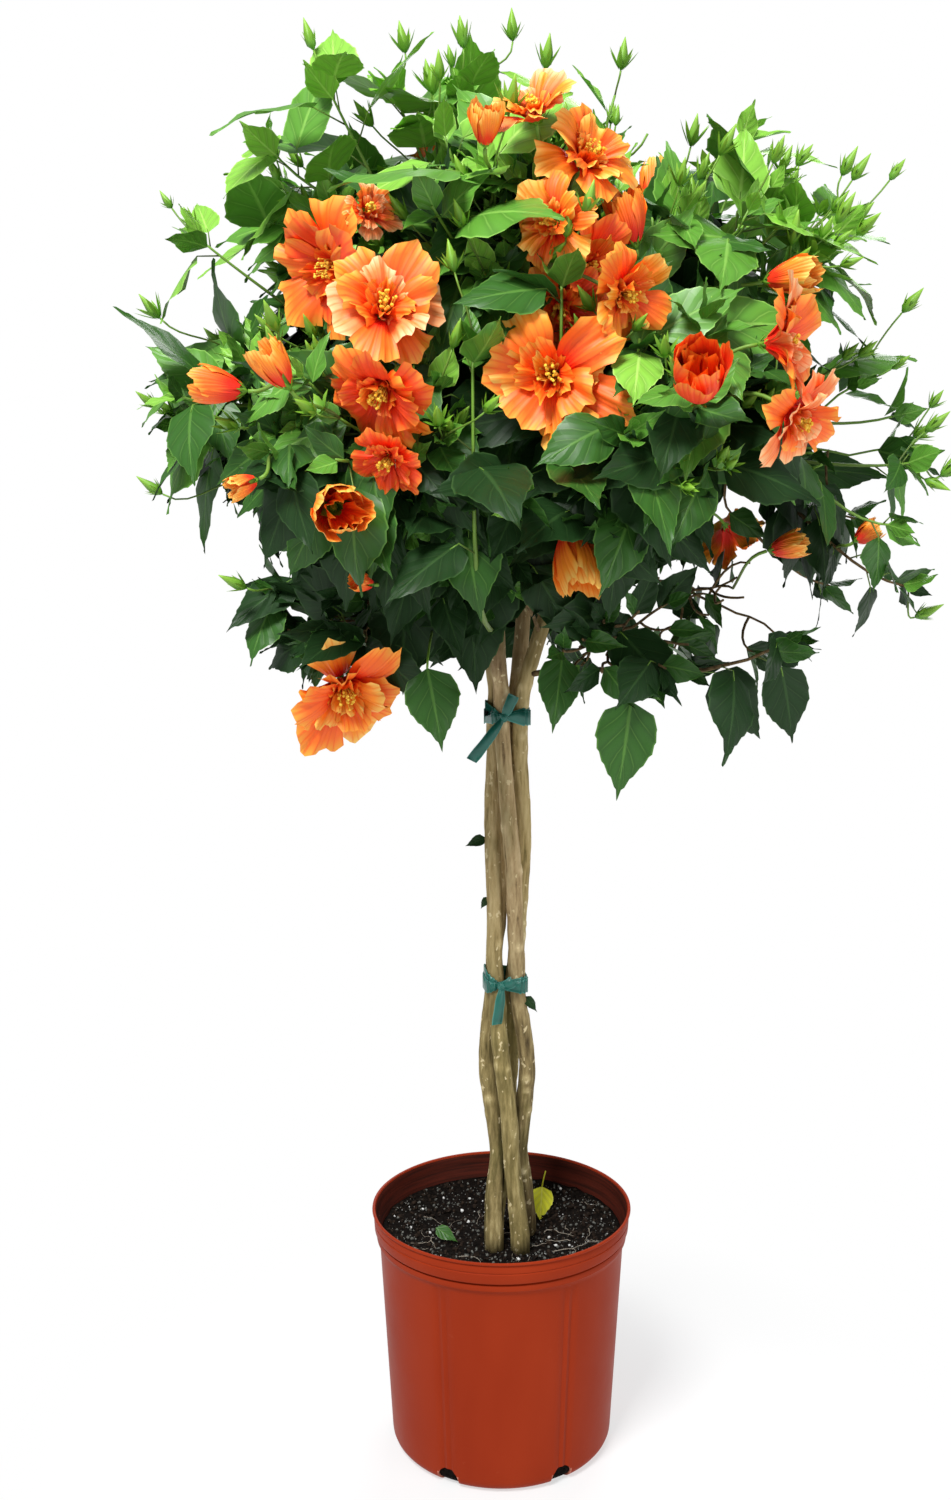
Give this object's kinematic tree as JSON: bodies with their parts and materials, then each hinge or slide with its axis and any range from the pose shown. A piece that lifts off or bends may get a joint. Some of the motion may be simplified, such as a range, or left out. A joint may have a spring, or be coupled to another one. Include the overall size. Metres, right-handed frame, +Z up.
{
  "type": "potted hibiscus shrub grown as a braided standard",
  "caption": "Hibiscus shrub trained as a standard: braided stems tied together, a round leafy head with double orange blooms, in a plastic nursery pot.",
  "frame": {"origin": "middle of the flat underside of the nursery pot", "axes": "+Z up along the trunk, -Y towards the front of the plant, +X to the right seen from the front"},
  "size_m": [0.7791, 0.7174, 1.3661],
  "materials": {
    "pot": "satin moulded plastic, red-brown",
    "soil": "dark peat and bark mix with white perlite grains",
    "bark": "olive-brown fissured bark with pale specks and leaf scars",
    "tie": "stretchy green plastic tie tape, slightly glossy",
    "foliage": "glossy toothed green leaves",
    "bloom": "thin ruffled orange petals with a red throat"
  },
  "bodies": {
    "root": {"pot": "pot", "soil": "soil", "tie_lower": "tie", "tie_upper": "tie", "stem_1": "bark", "stem_2": "bark", "stem_3": "bark", "stem_4": "bark", "bough_low_right": "bark", "bough_low_back": "bark", "bough_low_back_left": "bark", "bough_low_left": "bark", "bough_low_front": "bark", "bough_middle_right": "bark", "bough_middle_back_right": "bark", "bough_middle_back": "bark", "bough_middle_left": "bark", "bough_middle_front_left": "bark", "bough_middle_front": "bark", "bough_upper_left": "bark", "bough_upper_front_right": "bark", "bough_top_right": "bark", "mass_low_right": "foliage", "mass_low_back": "foliage", "mass_low_back_left": "foliage", "mass_low_left": "foliage", "mass_low_front": "foliage", "mass_middle_right": "foliage", "mass_middle_back_right": "foliage", "mass_middle_back": "foliage", "mass_middle_left": "foliage", "mass_middle_front_left": "foliage", "mass_middle_front": "foliage", "mass_upper_right": "foliage", "mass_upper_back": "foliage", "mass_upper_left": "foliage", "mass_upper_front": "foliage", "mass_upper_front_right": "foliage", "mass_top_left": "foliage", "mass_top_right": "foliage"}
  },
  "joints": []
}
